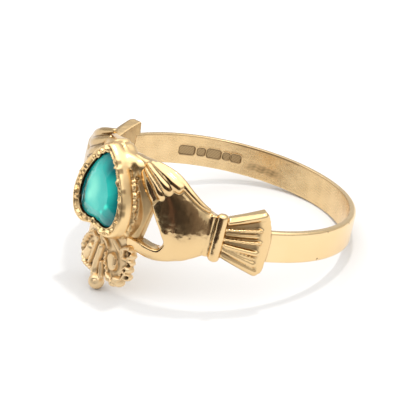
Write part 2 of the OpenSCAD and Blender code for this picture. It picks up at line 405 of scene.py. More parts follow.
def goldGroup():
    tree = bpy.data.node_groups.new("wornGold", "ShaderNodeTree")
    face = tree.interface
    for label, kind, value in [
            ("Tone", "Color", goldLook["tone"]), ("Warm Tone", "Color", goldLook["warm"]),
            ("Tarnish And Shade Colour", "Color", goldLook["tarnishAndShade"]), ("Tarnish", "Float", 0.8),
            ("Roughness", "Float", goldLook["roughness"]), ("Scratches", "Float", 0.3),
            ("Grain", "Float", 0.3), ("Ripple", "Float", goldLook["ripple"])]:
        socket = face.new_socket(label, in_out="INPUT", socket_type="NodeSocket" + kind)
        socket.default_value = value
    face.new_socket("Colour", in_out="OUTPUT", socket_type="NodeSocketColor")
    face.new_socket("Roughness", in_out="OUTPUT", socket_type="NodeSocketFloat")
    face.new_socket("Height", in_out="OUTPUT", socket_type="NodeSocketFloat")
    given = tree.nodes.new("NodeGroupInput").outputs
    place = objectPlace(tree)
    hollow = addNode(tree, "ShaderNodeAttribute", attribute_name="hollow").outputs["Fac"]
    stainShadeAndReflection = addNode(tree, "ShaderNodeAttribute", attribute_name="stainShadeAndReflection").outputs["Fac"]
    cloud = addNoise(tree, place, goldLook["cloudScale"], 3.0)
    specks = addNoise(tree, place, goldLook["speckScale"], 4.0)
    deep = addMath(tree, "MULTIPLY", addMath(tree, "MULTIPLY_ADD", hollow, 1.5, -0.12, clamp=True),
                   addMath(tree, "MULTIPLY_ADD", specks, 0.9, 0.5))
    # the stain attribute darkens towards the same dark colour: real stains and wear, and also
    # painted shade and painted dark reflections
    mask = addMath(tree, "MAXIMUM", addMath(tree, "MULTIPLY", deep, given["Tarnish"]), stainShadeAndReflection,
                   clamp=True)
    clean = addMix(tree, cloud, given["Tone"], given["Warm Tone"])
    colour = addMix(tree, mask, clean, given["Tarnish And Shade Colour"])
    # fine rubbed scratches in two directions
    lines = []
    for turn in goldLook["scratchTurns"]:
        turned = addNode(tree, "ShaderNodeMapping", {
            "Vector": place, "Rotation": turn, "Scale": goldLook["scratchScale"]})
        lines.append(addNoise(tree, turned.outputs[0], 1.0, 2.0))
    scratch = addMath(tree, "ADD", lines[0], lines[1])
    rough = addMath(tree, "ADD", given["Roughness"], addMath(tree, "MULTIPLY", mask, 0.35))
    rough = addMath(tree, "ADD", rough, addMath(tree, "MULTIPLY", specks, 0.05), clamp=True)
    ripple = addNoise(tree, place, goldLook["rippleScale"], 1.5)
    height = addMath(tree, "ADD", addMath(tree, "MULTIPLY", scratch, given["Scratches"]),
                     addMath(tree, "MULTIPLY", specks, given["Grain"]))
    height = addMath(tree, "ADD", height, addMath(tree, "MULTIPLY", ripple, given["Ripple"]))
    addNode(tree, "NodeGroupOutput", {"Colour": colour, "Roughness": rough, "Height": height})
    return tree


def goldMaterial(name, group, **values):
    material, tree, shader = newMaterial(name)
    worn = addNode(tree, "ShaderNodeGroup", node_tree=group)
    for label, value in values.items():
        worn.inputs[label.replace("_", " ")].default_value = value
    bump = addNode(tree, "ShaderNodeBump", {"Height": worn.outputs["Height"], "Strength": 0.25,
                                            "Distance": 0.00002})
    shader.inputs["Metallic"].default_value = 1.0
    tree.links.new(worn.outputs["Colour"], shader.inputs["Base Color"])
    tree.links.new(worn.outputs["Roughness"], shader.inputs["Roughness"])
    tree.links.new(bump.outputs[0], shader.inputs["Normal"])
    return material


goldWear = goldGroup()
bandGold = goldMaterial("bandGold", goldWear, Roughness=0.2, Scratches=0.7, Ripple=3.5,
                        Tone=(0.94, 0.71, 0.41, 1), Warm_Tone=(0.86, 0.61, 0.31, 1))
handGold = goldMaterial("handGold", goldWear, Roughness=0.09, Tarnish=0.5, Ripple=6.0,
                        Tone=(0.88, 0.64, 0.34, 1), Warm_Tone=(0.80, 0.55, 0.27, 1))
castGold = goldMaterial("castGold", goldWear, Roughness=0.26, Grain=0.6, Tarnish=0.7,
                        Tone=(0.91, 0.67, 0.35, 1), Warm_Tone=(0.82, 0.56, 0.27, 1))
crownGold = goldMaterial("crownGold", goldWear, Roughness=0.40, Scratches=0.1, Grain=0.5,
                         Tarnish=0.9, Tone=(0.92, 0.71, 0.43, 1), Warm_Tone=(0.84, 0.61, 0.34, 1))

# Band

bandSize = {
    "thickness": 0.47, "width": 2.16,
    "outerRound": 0.2, "innerRound": 0.05,
    "start": 66.0, "end": 282.0,      # degrees from the head, both inside the cuffs
    "steps": 700, "across": 0.045,    # spacing of the points round the section
}
wornDents = {
    # degrees from the head and half length in mm of each plain worn dent inside the far side
    "places": [(-108.2, 0.60), (-115.2, 0.31), (-121.3, 0.52), (-127.3, 0.28), (-131.9, 0.37)],
    "halfTall": [0.34, 0.30, 0.35, 0.28, 0.31], "height": -0.04, "depth": 0.07,
}
bandMarks = {
    # dull rubbed place: angle, half length in degrees, height, half height
    "smear": (-146.0, 9.5, -0.30, 0.30),
    "seam": (-152.4, 0.96, -156.2, -1.23),  # angle and height of both ends
    "pits": [(101.0, -0.86, 0.09), (104.5, 0.98, 0.07), (124.0, 1.0, 0.08)],
}


def bandProfile():
    # section in the plane of radius (from the middle of the wall) and height
    halfT, halfW = bandSize["thickness"] / 2, bandSize["width"] / 2
    outline = []
    for sideX, sideY, start in ((1, 1, 0), (-1, 1, 90), (-1, -1, 180), (1, -1, 270)):
        rounding = bandSize["outerRound"] if sideX > 0 else bandSize["innerRound"]
        turn = np.radians(start + np.linspace(0, 90, 7 if sideX > 0 else 4))
        outline.append(np.column_stack([sideX * (halfT - rounding) + rounding * np.cos(turn),
                                        sideY * (halfW - rounding) + rounding * np.sin(turn)]))
    outline = np.concatenate(outline)
    points = []
    for here, there in zip(outline, np.roll(outline, -1, axis=0)):
        count = max(1, int(round(np.linalg.norm(there - here) / bandSize["across"])))
        points += [mixed(here, there, k / count) for k in range(count)]
    return np.column_stack([points, np.zeros(len(points))])


def bandTree():
    tree, given = newTree("bandSweep", {"Hoop Radius": "Float", "Start": "Float",
                                        "Sweep": "Float", "Steps": "Int", "Material": "Material"})
    section = addNode(tree, "GeometryNodeMeshToCurve", {"Mesh": given["Geometry"]})
    arc = addNode(tree, "GeometryNodeCurveArc", {
        "Resolution": given["Steps"], "Radius": given["Hoop Radius"],
        "Start Angle": given["Start"], "Sweep Angle": given["Sweep"]})
    swept = addNode(tree, "GeometryNodeCurveToMesh", {
        "Curve": arc.outputs[0], "Profile Curve": section.outputs[0], "Fill Caps": True})
    endTree(tree, swept.outputs[0], given["Material"])
    return tree


def makeBand():
    band = addGuide("ringBand", bandProfile(), closed=True)
    middle = hoop["holeRadius"] + bandSize["thickness"] / 2
    grow(band, bandTree(), {
        "Hoop Radius": middle, "Start": np.radians(bandSize["start"] - 90),
        "Sweep": np.radians(bandSize["end"] - bandSize["start"]), "Steps": bandSize["steps"],
        "Material": bandGold})
    mesh = band.data
    points = getPoints(mesh)
    radius, angle, height = hoopPlace(points)
    inside = eased(middle - radius, 0.1, 0.2)
    # slow unevenness of a ring that has been worn and rolled out
    wave = 0.008 * np.sin(np.radians(angle) * 9 + 1.3 * height) + 0.006 * np.sin(
        np.radians(angle) * 23 - 2.1 * height)
    push = 0.5 * wave
    arc = np.radians(1) * radius    # mm for each degree
    stainShadeAndReflection = np.zeros(len(points))
    for k, (centre, halfLong) in enumerate(wornDents["places"]):
        along = np.abs((angle - centre) * arc)
        across = np.abs(height - wornDents["height"])
        wide, tall = halfLong - 0.2, wornDents["halfTall"][k] - 0.2
        gap = np.hypot(np.maximum(along - wide, 0), np.maximum(across - tall, 0)) / 0.2
        dent = 1 - eased(gap, 0.76, 1.0)
        edge = np.exp(-((gap - 0.88) / 0.22) ** 2)
        mottle = 0.5 + 0.5 * np.sin(8.1 * angle + 6 * height) * np.sin(19 * height - 3.3 * angle)
        push = push + inside * (wornDents["depth"] * (0.85 + 0.15 * np.sin(5 * k)) * dent
                                - 0.016 * np.exp(-((gap - 1.2) / 0.15) ** 2))
        # painted shade: the dents are darkened inside and more along their walls
        stainShadeAndReflection = np.maximum(stainShadeAndReflection, inside * np.maximum((0.40 + 0.36 * mottle) * dent, edge))
    turn, half, middle, tall = bandMarks["smear"]
    smear = np.exp(-((angle - turn) / half) ** 4 - ((height - middle) / tall) ** 4) * inside
    streak = 0.5 + 0.5 * np.sin(31 * height + 0.5 * angle + 2 * np.sin(0.9 * angle))
    patchy = 0.5 + 0.5 * np.sin(0.75 * angle + 1.2) * np.sin(1.9 * angle + 5 * height)
    stainShadeAndReflection = np.maximum(stainShadeAndReflection, smear * (0.24 + 0.2 * streak + 0.28 * patchy))
    # faint brushing all round the inside
    brushed = np.sin(47 * height + 3 * np.sin(0.21 * angle)) * np.sin(0.9 * angle + 13 * height)
    cloudy = np.sin(0.47 * angle + 1.7 * height) * np.sin(0.19 * angle - 2.6 * height + 1)
    stainShadeAndReflection = np.maximum(stainShadeAndReflection, 0.06 * inside * (1 + brushed) + 0.05 * inside * (1 + cloudy))
    a0, z0, a1, z1 = bandMarks["seam"]
    inner = np.radians(1) * hoop["holeRadius"]
    gap, _ = gapToLine(angle * arc, height, [(a0 * inner, z0), (a1 * inner, z1)])
    stainShadeAndReflection = np.maximum(stainShadeAndReflection, 0.3 * inside * (1 - eased(gap, 0.02, 0.06)))
    for a0, z0, size in bandMarks["pits"]:
        gap = np.hypot((angle - a0) * arc, height - z0)
        stainShadeAndReflection = np.maximum(stainShadeAndReflection, 0.9 * (1 - inside) * (1 - eased(gap, 0.4 * size, size)))
    # painted shade line where the band leaves the near cuff
    gap = (angle - cuffEdge(0.43 + height / cuffShape["width"])) * arc
    stainShadeAndReflection = np.maximum(stainShadeAndReflection, 0.7 * (1 - inside) * (angle > 0) * np.exp(
        -((gap - 0.05) / 0.07) ** 2))
    # darker line along the inner upper edge, strongest on part of the far side
    worst = span(-angle, 122, 134, 160, 168)
    stainShadeAndReflection = np.maximum(stainShadeAndReflection, inside * (0.45 + 0.4 * worst) * np.exp(
        -((height - 1.01) / (0.04 + 0.04 * worst)) ** 2))
    points[:, :2] *= (1 + push / radius)[:, None]
    setPoints(mesh, points)
    finishMetal(band, bandGold, stainShadeAndReflection=np.clip(stainShadeAndReflection, 0, 1), rounds=12)
    return band


# Hands with fingers, thumb, wrist and cuff

armShape = {
    "wristAngle": 50.0, "handWidth": 6.4, "handRise": 1.15, "fingerDrop": 0.09,
    "grain": 0.0445, "rounds": 3, "channelShade": 0.72,
    "farReach": 1.14, "farLean": 3.4, "farShade": 0.32, "gapEdge": 0.94,
    "reflectionBlotch": 0.10, "dull": 0.05,
}
# share of the wrist angle, lower and upper edge (shares of the width),
# middle and edge (shares of the rise)
handRows = [
    [0.06, 0.44, 0.57, 0.60, 0.52], [0.16, 0.40, 0.58, 0.66, 0.54],
    [0.22, 0.375, 0.58, 0.70, 0.55], [0.29, 0.345, 0.585, 0.77, 0.57],
    [0.36, 0.29, 0.585, 0.86, 0.60], [0.43, 0.19, 0.57, 0.93, 0.62],
    [0.50, 0.06, 0.545, 0.96, 0.62], [0.56, -0.045, 0.515, 0.98, 0.62],
    [0.61, -0.15, 0.485, 0.99, 0.62], [0.655, -0.25, 0.455, 1.00, 0.62],
    [0.71, -0.32, 0.42, 1.00, 0.60], [0.77, -0.325, 0.38, 0.98, 0.57],
    [0.84, -0.28, 0.335, 0.93, 0.54], [0.92, -0.215, 0.283, 0.84, 0.50],
    [1.0, -0.165, 0.242, 0.77, 0.48],
]
thumbRows = [
    [0.25, -0.375, -0.265, 0.55, 0.48], [0.32, -0.385, -0.255, 0.66, 0.54],
    [0.39, -0.395, -0.25, 0.76, 0.56], [0.46, -0.405, -0.26, 0.82, 0.56],
    [0.53, -0.405, -0.26, 0.87, 0.56], [0.585, -0.40, -0.235, 0.90, 0.56],
    [0.63, -0.388, -0.12, 0.93, 0.56], [0.67, -0.372, 0.02, 0.95, 0.55],
    [0.73, -0.345, 0.10, 0.94, 0.52], [0.80, -0.30, 0.12, 0.88, 0.46],
    [0.88, -0.24, 0.10, 0.72, 0.36],
]
# angle, height, radius of the middle, half width, half depth
fingerRows = [
    [[13.0, 3.12, 9.12, 0.34, 0.24], [17.0, 2.50, 9.26, 0.46, 0.26], [20.5, 1.87, 9.32, 0.43, 0.25],
     [24.2, 1.14, 9.30, 0.30, 0.18]],
    [[14.6, 3.24, 9.20, 0.16, 0.20], [17.6, 2.98, 9.32, 0.23, 0.24], [21.6, 2.58, 9.42, 0.31, 0.27],
     [25.0, 2.14, 9.50, 0.38, 0.29], [27.2, 1.86, 9.46, 0.36, 0.27]],
    [[15.0, 3.58, 9.20, 0.16, 0.20], [18.0, 3.42, 9.30, 0.22, 0.24], [23.6, 2.97, 9.44, 0.31, 0.27],
     [27.4, 2.64, 9.52, 0.38, 0.29], [30.2, 2.45, 9.48, 0.34, 0.26]],
    [[16.5, 3.78, 9.14, 0.16, 0.20], [20.4, 3.62, 9.24, 0.22, 0.24], [26.0, 3.34, 9.38, 0.30, 0.27],
     [30.2, 3.02, 9.47, 0.36, 0.28], [33.8, 2.71, 9.44, 0.32, 0.24]],
    [[18.5, 3.82, 9.00, 0.15, 0.20], [24.5, 3.70, 9.06, 0.20, 0.22], [29.2, 3.50, 9.14, 0.25, 0.24],
     [32.9, 3.20, 9.22, 0.27, 0.25], [37.0, 2.74, 9.26, 0.25, 0.24], [42.5, 2.17, 9.24, 0.20, 0.21],
     [46.6, 1.86, 9.15, 0.14, 0.15]],
]
farFingerRows = [
    [[7.4, 3.34, 9.20, 0.18, 0.22], [14.2, 2.62, 9.42, 0.31, 0.30], [20.0, 2.08, 9.48, 0.33, 0.30],
     [25.0, 1.68, 9.42, 0.25, 0.22]],
    [[6.4, 3.92, 9.25, 0.18, 0.24], [13.4, 3.30, 9.46, 0.30, 0.31], [19.0, 2.82, 9.52, 0.32, 0.31],
     [24.5, 2.40, 9.44, 0.25, 0.22]],
    [[6.4, 4.40, 9.10, 0.16, 0.22], [13.2, 3.96, 9.30, 0.27, 0.30], [18.0, 3.56, 9.36, 0.30, 0.30],
     [24.0, 3.08, 9.32, 0.24, 0.22]],
]
# painted shade lines between the far fingers: angle and height
farShadeLines = [[(24.9, 1.40), (14.5, 2.30), (8.6, 3.05)], [(23.4, 2.10), (13.9, 2.92), (6.7, 3.60)],
            [(21.4, 2.92), (12.9, 3.66), (6.6, 4.18)]]
# the same columns, with the radius above the hole: rounded bar at the wrist, thin collar before it
wristRows = [
    [[51.6, -1.42, 0.76, 0.40, 0.42], [51.8, 0.2, 0.80, 0.42, 0.44],
     [52.0, 1.95, 0.76, 0.40, 0.42]],
    [[47.9, -1.25, 0.60, 0.18, 0.25], [48.0, 0.2, 0.70, 0.18, 0.25],
     [48.1, 1.72, 0.60, 0.18, 0.25]],
]
cuffShape = {
    "start": 49.2, "end": 73.6, "bow": 3.2, "lowBow": 1.0, "corner": 0.9, "lowCorner": 1.9,
    "wristWidth": 2.592, "width": 4.45,
    "floor": 0.70, "margin": 0.84,      # heights above the finger hole
    "ribEnd": 0.82,                     # share of the length at which the ribs stop
    "beadPitch": 0.30, "beadDepth": 0.16,
}
# heights at the wrist and at the wide end, half width, how far the crest stands above the hole,
# and the share of the length at which it ends
ribRows = [
    [-0.80, -1.80, 0.32, 0.93, 0.97], [-0.36, -1.24, 0.23, 0.98, 0.84],
    [-0.26, -0.80, 0.08, 0.88, 0.80], [-0.12, -0.42, 0.21, 0.99, 0.84],
    [0.26, 0.38, 0.14, 1.02, 0.84], [0.55, 0.80, 0.17, 0.86, 0.80],
    [0.90, 1.25, 0.14, 1.02, 0.84], [1.24, 2.30, 0.28, 0.97, 0.97],
]
beadedRibs = (4, 6)    # rows whose ribs are beaded


def nearPlace(points, inner=False):
    return points


def farPlace(points, inner=False):    # the far hand leans down and is mirrored
    lean = np.radians(armShape["farLean"])
    x, y, z = points.T
    points = np.stack([-(x * np.cos(lean) + z * np.sin(lean)), y,
                       z * np.cos(lean) - x * np.sin(lean)], 1)
    if inner:
        points[:, :2] *= (backRadius / np.hypot(points[:, 0], points[:, 1]))[:, None]
    return points


def handShape(place, reach):
    v = np.linspace(0, 1, 72)
    t = np.linspace(handRows[0][0], 1, 110)
    low, high, mid, edge = [readTable(t, handRows, k)[:, None] for k in (1, 2, 3, 4)]
    height = armShape["handWidth"] * mixed(low, high, v)
    angle = armShape["wristAngle"] * t[:, None] + 0 * v
    square = mixed(5.0, 2.4, eased(t, 0.52, 0.66))[:, None]
    # the edge above the gap to the thumb is sharper, so the back of the hand stays flat up to it
    sharp = span(t, 0.18, 0.26, 0.61, 0.67)
    edge = np.where(v < 0.5, mixed(edge, armShape["gapEdge"] * mid, sharp[:, None]), edge)
    radius = hoop["holeRadius"] + armShape["handRise"] * mixed(edge, mid, dome(v, square))
    lobes = np.interp(height, [1.2, 1.89, 2.49, 2.73, 3.2], [22.8, 26.2, 29.2, 32.8, 36.6])
    radius = radius - armShape["fingerDrop"] * eased(lobes - angle, -0.5, 1.5) * eased(
        height, 1.0, 1.4)
    return stripShape((radius, angle * reach, height), place)


def thumbShape(place, reach):
    v = np.linspace(0, 1, 30)
    t = np.linspace(thumbRows[0][0], thumbRows[-1][0], 60)
    low, high, mid, edge = [readTable(t, thumbRows, k)[:, None] for k in (1, 2, 3, 4)]
    # highest near its upper edge, so its face looks down to the floor
    crest = np.where(v < 0.82, 1 - (1 - v / 0.82) ** 2, 1 - ((v - 0.82) / 0.18) ** 2)
    crest = mixed(crest, 1 - (1 - v) ** 2, eased(t, 0.58, 0.63)[:, None])
    return stripShape((
        hoop["holeRadius"] + armShape["handRise"] * mixed(edge, mid, crest),
        armShape["wristAngle"] * reach * t[:, None] + 0 * v,
        armShape["handWidth"] * mixed(low, high, v)), place)


def cuffEdge(v):    # angle of the wide end
    off = np.abs(2 * v - 1)
    upper = np.asarray(v) > 0.5
    bow = np.where(upper, cuffShape["bow"], cuffShape["lowBow"])
    corner = np.where(upper, cuffShape["corner"], cuffShape["lowCorner"])
    return cuffShape["end"] - bow * off ** 2 - corner * off ** 20


def cuffPlate(place, reach):
    v = np.linspace(0, 1, 60)
    t = np.linspace(0, 1, 60)[:, None]
    spread = np.maximum(0, (t - 0.2) / 0.8)
    height = mixed(mixed(-0.39, 0.61, v) * cuffShape["wristWidth"],
                   mixed(-0.43, 0.57, v) * cuffShape["width"], spread)
    angle = mixed(cuffShape["start"], cuffEdge(v), t)
    rise = mixed(cuffShape["floor"], cuffShape["margin"], eased(t, cuffShape["ribEnd"] - 0.14,
                                                               cuffShape["ribEnd"] + 0.05))
    rise = rise - 0.10 * (1 - dome(v, 10)) - 0.10 * eased(t, 0.95, 1.0)
    return stripShape((hoop["holeRadius"] + rise, angle * reach, height), place)


def ribTree():
    tree, given = newTree("cuffRibs", {"Bead Pitch": "Float", "Bead Depth": "Float",
                                       "Material": "Material"})
    line = addNode(tree, "GeometryNodeMeshToCurve", {"Mesh": given["Geometry"]})
    even = addNode(tree, "GeometryNodeResampleCurve", {"Curve": line.outputs[0], "Length": 0.03},
                   mode="LENGTH")
    run = addNode(tree, "GeometryNodeSplineParameter").outputs["Length"]
    size = addNode(tree, "GeometryNodeInputNamedAttribute", {"Name": "ribSize"},
                   data_type="FLOAT").outputs["Attribute"]
    turns = addMath(tree, "MULTIPLY", addMath(tree, "DIVIDE", run, given["Bead Pitch"]), 6.2832)
    bead = addMath(tree, "MULTIPLY_ADD", addMath(tree, "SINE", turns), given["Bead Depth"], 1.0)
    ring = addNode(tree, "GeometryNodeCurvePrimitiveCircle", {"Resolution": 14, "Radius": 1.0})
    tube = addNode(tree, "GeometryNodeCurveToMesh", {
        "Curve": even.outputs[0], "Profile Curve": ring.outputs[0],
        "Scale": addMath(tree, "MULTIPLY", size, bead), "Fill Caps": True})
    endTree(tree, tube.outputs[0], given["Material"])
    return tree


def ribShapes(place, reach, tree):
    shapes = []
    for number, (wristZ, endZ, size, rise, length) in enumerate(ribRows):
        v = 0.43 + endZ / cuffShape["width"]
        end = mixed(cuffShape["start"], cuffEdge(v), length)
        u = np.linspace(0, 1, 30)
        angle = mixed(52.5, float(end), u)
        middle = hoop["holeRadius"] + rise - size
        guide = addGuide("rib", place(hoopPoint(middle, angle * reach, mixed(wristZ, endZ, u))))
        taper = np.sqrt(np.clip(1 - (np.clip(u - 0.90, 0, 1) / 0.105) ** 2, 0.05, 1))
        setAttribute(guide.data, "ribSize", size * taper * mixed(0.6, 1.0, u))
        shapes.append(shapeOf(grow(guide, tree, {
            "Bead Pitch": cuffShape["beadPitch"],
            "Bead Depth": cuffShape["beadDepth"] if number in beadedRibs else 0.0,
            "Material": handGold})))
    return shapes


def barShapes(tables, place, reach, base=0.0):
    return [sweepShape(np.array(rows) * [reach, 1, 1, 1, 1] + [0, 0, base, 0, 0], place)
            for rows in tables]


def makeArm(name, place, reach, tree):
    arm = castTogether(name, [
        handShape(place, reach), thumbShape(place, reach), cuffPlate(place, reach),
        *barShapes(wristRows, place, reach, hoop["holeRadius"]),
        *barShapes(fingerRows if reach == 1 else farFingerRows, place, reach),
        *ribShapes(place, reach, tree)], armShape["grain"], armShape["rounds"])
    radius, angle, height = hoopPlace(place(getPoints(arm.data)))
    angle = angle / reach
    for mask, rounds in (
            (span(angle, 26, 31, 42, 45) * eased(-0.55 - height, 0, 0.5), 60),    # palm
            (span(angle, 12, 14, 33, 36) * eased(height, 0.9, 1.3), 7),           # fingers
            (span(angle, 46.2, 46.8, 54.0, 54.6), 9),                             # wrist
            (span(angle, 53.6, 54.6, cuffShape["end"] - 2.6, cuffShape["end"] - 1.6), 5)):
        soften(arm, mask, rounds)
    # painted shade on the floors of the cuff's channels between the ribs
    floor = span(angle, 52.5, 55, 68.5, 70.5) * eased(
        hoop["holeRadius"] + cuffShape["floor"] + 0.15 - radius, 0, 0.10)
    points, radius, angle, height, outward = readSkin(arm)
    stainShadeAndReflection = armShape["channelShade"] * floor * eased(outward, 0.2, 0.8)
    # darker on the upward faces of the thumb, along the gap under the hand
    turn = np.abs(angle) / reach
    thumb = span(turn, 15, 17, 25, 27) * span(height, -2.1, -2.0, -1.4, -1.3)
    stainShadeAndReflection = np.maximum(stainShadeAndReflection, 0.45 * thumb * eased(getNormals(arm.data)[:, 2], 0.35, 0.8))
    # painted dark reflection blotches on the back of the hand, and a slight even darkening of the
    # outward faces further from the head
    hand = span(turn, 26, 30, 44.5, 46.5) * eased(outward, 0.2, 0.6)
    reflectionBlotch = 0.5 + 0.5 * np.sin(1.3 * turn + 3 * np.sin(2.1 * height)) * np.sin(
        6.2 * height - 0.8 * turn)
    stainShadeAndReflection = np.maximum(stainShadeAndReflection, hand * eased(height, -0.3, 0.3) * armShape["reflectionBlotch"] * reflectionBlotch ** 1.5)
    stainShadeAndReflection = np.maximum(stainShadeAndReflection, armShape["dull"] * eased(turn, 16, 22) * eased(outward, 0.2, 0.6))
    flat = (radius < backRadius + 0.14) & (outward < -0.4)
    # behind the setting and the crown the hand stands a little further out than their backs
    fitBack(points, radius, flat, backRadius + 0.04 * (1 - eased(turn[flat], 17.5, 18.5)))
    stainShadeAndReflection *= eased(outward, -0.8, -0.4)
    if reach != 1:
        # painted shade: the far hand is darkened all over
        stainShadeAndReflection = np.maximum(stainShadeAndReflection, armShape["farShade"])
        _, turn, up = hoopPlace(farPlace(points))
        scale = np.radians(1) * 9.5 * reach
        # painted shade along the grooves between the far fingers
        for line in farShadeLines:
            gap, _ = gapToLine(turn * scale / reach, up, [(a * scale, z) for a, z in line])
            stainShadeAndReflection = np.maximum(stainShadeAndReflection, 0.85 * eased(outward, 0, 0.3) * np.exp(-(gap / 0.07) ** 2))
    setPoints(arm.data, points)
    finishMetal(arm, handGold, stainShadeAndReflection=stainShadeAndReflection)
    return arm


# Heart setting with its beaded rim

heartSize = {
    "stoneRadius": 2.46, "rimWidth": 0.8, "up": 0.6, "seatFloor": 8.92,
    "gap": 0.06, "around": 480, "grain": 0.0435, "wallShade": 0.55,
}
# beads round the rim and along the strip under it: share of the rim's width, distance from the axis
rimLay = {"count": 29, "radius": 0.21, "share": 0.42, "away": 10.29, "unevenness": 0.70, "seed": 4,
          "wander": 0.13}
stripLay = {"count": 40, "radius": 0.23, "share": 0.84, "away": 9.38, "unevenness": 0.45, "seed": 9,
            "wander": 0.04}
# angle, lower and upper edge, radius in the middle and at the edges
shoulderRows = [
    [0.5, 3.35, 3.84, 9.90, 9.55], [4.0, 2.95, 3.74, 9.88, 9.50], [8.0, 2.50, 3.66, 9.72, 9.30],
    [11.5, 2.35, 3.60, 9.50, 9.15], [15.0, 2.40, 3.58, 9.30, 9.02], [18.5, 2.60, 3.52, 9.14, 8.90],
]
# foot of the wall towards the gap over the thumb
gussetRows = [
    [13.0, -1.60, 2.50, 9.40, 9.30], [16.5, -1.70, 2.10, 9.26, 9.16],
    [18.2, -1.66, 1.85, 9.12, 9.02], [19.2, -0.95, 1.60, 9.02, 8.92],
    [20.1, -0.20, 1.45, 8.94, 8.84], [21.0, 0.45, 1.30, 8.84, 8.74],
]
# painted dark reflections and shade on the rim: across and along the hoop's axis in mm from the
# heart's middle, size
rimShadeSpots = [(2.54, -0.02, 0.40), (2.66, -0.45, 0.36), (2.46, -0.85, 0.34), (2.24, -1.40, 0.30),
            (1.63, 2.10, 0.26), (1.20, 2.55, 0.26), (2.42, 1.00, 0.24)]
farLift = 0.36    # the far shoulder stands higher
# angle, height, radius of the middle, half width, half depth
knuckleRows = [[10.2, 3.50, 9.40, 0.13, 0.20], [11.9, 3.10, 9.42, 0.15, 0.18],
               [13.3, 2.60, 9.30, 0.12, 0.14]]
# angle from the cleft, share of the stone's radius, share of the rim's width
heartRows = [
    [-14, 0.83, 0.62], [0, 0.80, 0.50], [14, 0.83, 0.62], [28, 0.94, 0.85], [45, 1.00, 1.00],
    [66, 0.93, 1.00], [84, 0.855, 0.90], [102, 0.815, 0.80], [122, 0.80, 0.75],
    [142, 0.855, 0.75], [160, 0.97, 0.80], [171, 1.06, 0.82], [180, 1.14, 0.82], [189, 1.06, 0.82],
]
# share of the rim's width outside the stone, distance from the hoop's axis
rimRows = [
    [0.98, 8.9], [0.99, 9.06], [0.97, 9.13], [0.90, 9.17], [0.80, 9.19], [0.78, 9.26], [0.78, 9.54],
    [0.82, 9.60], [0.94, 9.63], [1.05, 9.68], [1.07, 9.76], [1.05, 9.95], [1.01, 10.18],
    [0.96, 10.33], [0.87, 10.44], [0.75, 10.48], [0.65, 10.44], [0.57, 10.35], [0.48, 10.31],
    [0.30, 10.31], [0.20, 10.34], [0.14, 10.42], [0.09, 10.44], [0.04, 10.38],
]


def foldAngle(angle):
    angle = np.mod(angle, 360)
    return np.where(angle > 180, 360 - angle, angle)


def heartRadius(angle):
    return heartSize["stoneRadius"] * readTable(foldAngle(angle), heartRows, 1)


def rimRadius(angle):
    return heartSize["rimWidth"] * readTable(foldAngle(angle), heartRows, 2)


def heartPoint(radius, angle, away):    # away is the distance from the hoop's axis plane
    turn = np.radians(angle)
    return np.stack(np.broadcast_arrays(-radius * np.sin(turn), -away,
                                        heartSize["up"] - radius * np.cos(turn)), -1)


def settingShape():
    angle = np.linspace(0, 360, heartSize["around"], endpoint=False)
    stone, rim = heartRadius(angle), rimRadius(angle)
    loops = []
    wall = stone + rimRows[0][0] * rim
    for share in np.linspace(0.15, 1, 12):    # curved back that follows the finger hole
        loop = heartPoint(wall * share, angle, 0.0)
        loop[:, 1] = -np.sqrt(backRadius ** 2 - loop[:, 0] ** 2)
        loops.append(loop)
    foot = -loops[-1][:, 1]
    for share in np.linspace(0.12, 0.95, 8):
        loops.append(heartPoint(wall, angle, mixed(foot, rimRows[0][1], share)))
    table = np.column_stack([np.arange(len(rimRows)), rimRows])
    for at in np.linspace(0, len(rimRows) - 1, 3 * len(rimRows)):
        loops.append(heartPoint(stone + readTable(at, table, 1) * rim, angle,
                                readTable(at, table, 2)))
    seat = stone + heartSize["gap"]
    for away in np.linspace(10.32, heartSize["seatFloor"], 14):
        loops.append(heartPoint(seat, angle, away))
    for share in (0.8, 0.5, 0.2):
        loops.append(heartPoint(seat * share, angle, heartSize["seatFloor"]))
    return loftShape(loops)


